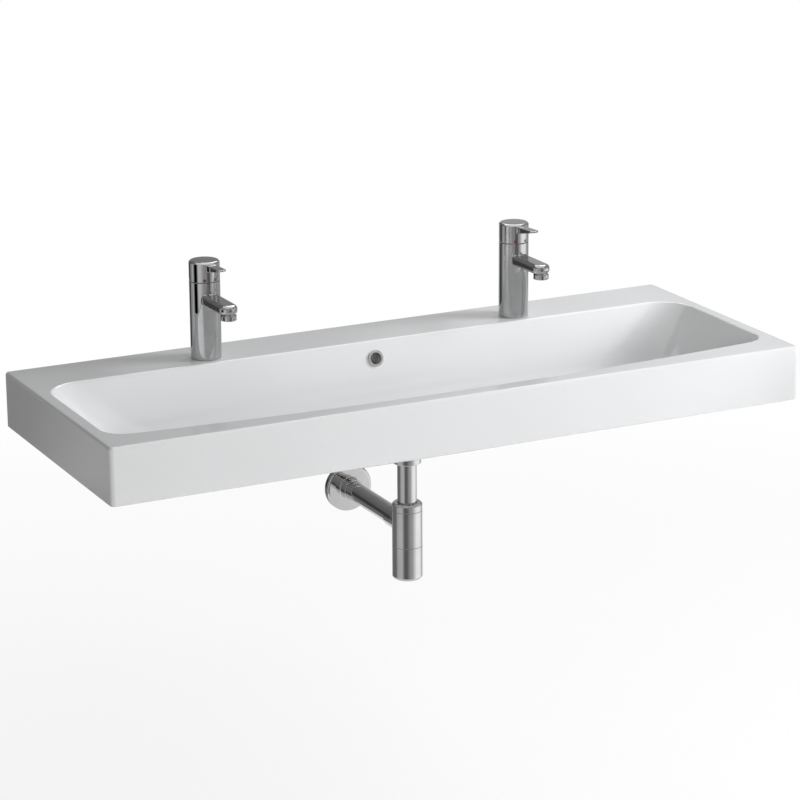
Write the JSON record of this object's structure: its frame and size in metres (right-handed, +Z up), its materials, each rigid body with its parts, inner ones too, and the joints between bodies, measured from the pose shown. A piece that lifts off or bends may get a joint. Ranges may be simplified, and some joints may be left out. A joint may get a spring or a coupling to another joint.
{
  "type": "wall-hung double washbasin",
  "caption": "Long rectangular wall-hung washbasin with a sloping trough bowl, single-lever mixer taps, overflow, push plug waste and a chrome bottle trap.",
  "frame": {"origin": "midway between the two wall bolts, on the wall plane", "axes": "+X to the right seen from the room, +Y into the wall, +Z up"},
  "size_m": [1.2, 0.54, 0.537],
  "materials": {
    "glaze": "glossy white glaze",
    "chrome": "polished",
    "brass": "turned",
    "steel": "zinc plated",
    "rubber": "matt",
    "plastic": "satin white",
    "disc_ceramic": "lapped",
    "red_mark": "gloss",
    "blue_mark": "gloss"
  },
  "bodies": {
    "basin_unit": {"basin": "glaze", "clamp_nuts": "brass", "clamp_plates": "steel", "clamp_seals": "rubber", "dip_tube": "plastic", "fixing_nuts": "steel", "fixing_sleeves": "plastic", "fixing_washers": "steel", "hanger_bolts": "steel", "left_aerator_insert": "plastic", "left_aerator_shell": "chrome", "left_cartridge_housing": "plastic", "left_dome_nut": "chrome", "left_fixed_disc": "disc_ceramic", "left_tap_body": "chrome", "outlet_nut": "chrome", "outlet_seal": "rubber", "overflow_ring": "chrome", "plug_latch": "plastic", "right_aerator_insert": "plastic", "right_aerator_shell": "chrome", "right_cartridge_housing": "plastic", "right_dome_nut": "chrome", "right_fixed_disc": "disc_ceramic", "right_tap_body": "chrome", "tailpipe": "chrome", "tap_base_seals": "rubber", "tap_studs": "steel", "trap_body": "chrome", "trap_top_nut": "chrome", "trap_top_seal": "rubber", "union_nut": "chrome", "union_seal": "rubber", "wall_pipe": "chrome", "waste_backnut": "brass", "waste_body": "chrome", "waste_bottom_seal": "rubber", "waste_top_seal": "rubber"},
    "left_spindle": {"left_rotor": "plastic", "left_pivot_pin": "steel"},
    "right_spindle": {"right_rotor": "plastic", "right_pivot_pin": "steel"},
    "left_disc": {"left_moving_disc": "disc_ceramic"},
    "right_disc": {"right_moving_disc": "disc_ceramic"},
    "left_handle": {"left_stem": "steel", "left_lever_cap": "chrome", "left_grub_screw": "steel", "left_hot_mark": "red_mark", "left_cold_mark": "blue_mark"},
    "right_handle": {"right_stem": "steel", "right_lever_cap": "chrome", "right_grub_screw": "steel", "right_hot_mark": "red_mark", "right_cold_mark": "blue_mark"},
    "plug": {"waste_plug": "chrome", "plug_seal": "rubber"},
    "cup": {"trap_cup": "chrome", "cup_seal": "rubber"},
    "rosette": {"wall_rosette": "chrome"}
  },
  "joints": [
    {"name": "left_temperature", "type": "hinge", "parent": "basin_unit", "child": "left_spindle", "pos_m": [-0.282, -0.072, 0.184], "axis": [0, 0, 1], "range_deg": [-45, 45]},
    {"name": "left_flow", "type": "hinge", "parent": "left_spindle", "child": "left_handle", "pos_m": [-0.282, -0.072, 0.184], "axis": [-1, 0, 0], "range_deg": [0, 18]},
    {"name": "left_mixing", "type": "slide", "parent": "left_spindle", "child": "left_disc", "axis": [0, -1, 0], "range_m": [0, 0.004]},
    {"name": "right_temperature", "type": "hinge", "parent": "basin_unit", "child": "right_spindle", "pos_m": [0.282, -0.072, 0.184], "axis": [0, 0, 1], "range_deg": [-45, 45]},
    {"name": "right_flow", "type": "hinge", "parent": "right_spindle", "child": "right_handle", "pos_m": [0.282, -0.072, 0.184], "axis": [-1, 0, 0], "range_deg": [0, 18]},
    {"name": "right_mixing", "type": "slide", "parent": "right_spindle", "child": "right_disc", "axis": [0, -1, 0], "range_m": [0, 0.004]},
    {"name": "plug_lift", "type": "slide", "parent": "basin_unit", "child": "plug", "axis": [0, 0, 1], "range_m": [0, 0.009]},
    {"name": "cup_release", "type": "slide", "parent": "basin_unit", "child": "cup", "axis": [0, 0, -1], "range_m": [0, 0.12]},
    {"name": "rosette_slide", "type": "slide", "parent": "basin_unit", "child": "rosette", "axis": [0, -1, 0], "range_m": [0, 0.12]}
  ],
  "couplings": [
    {"joint": "left_mixing", "follows": "left_flow", "m_per_rad": 0.0123},
    {"joint": "right_mixing", "follows": "right_flow", "m_per_rad": 0.0123}
  ]
}
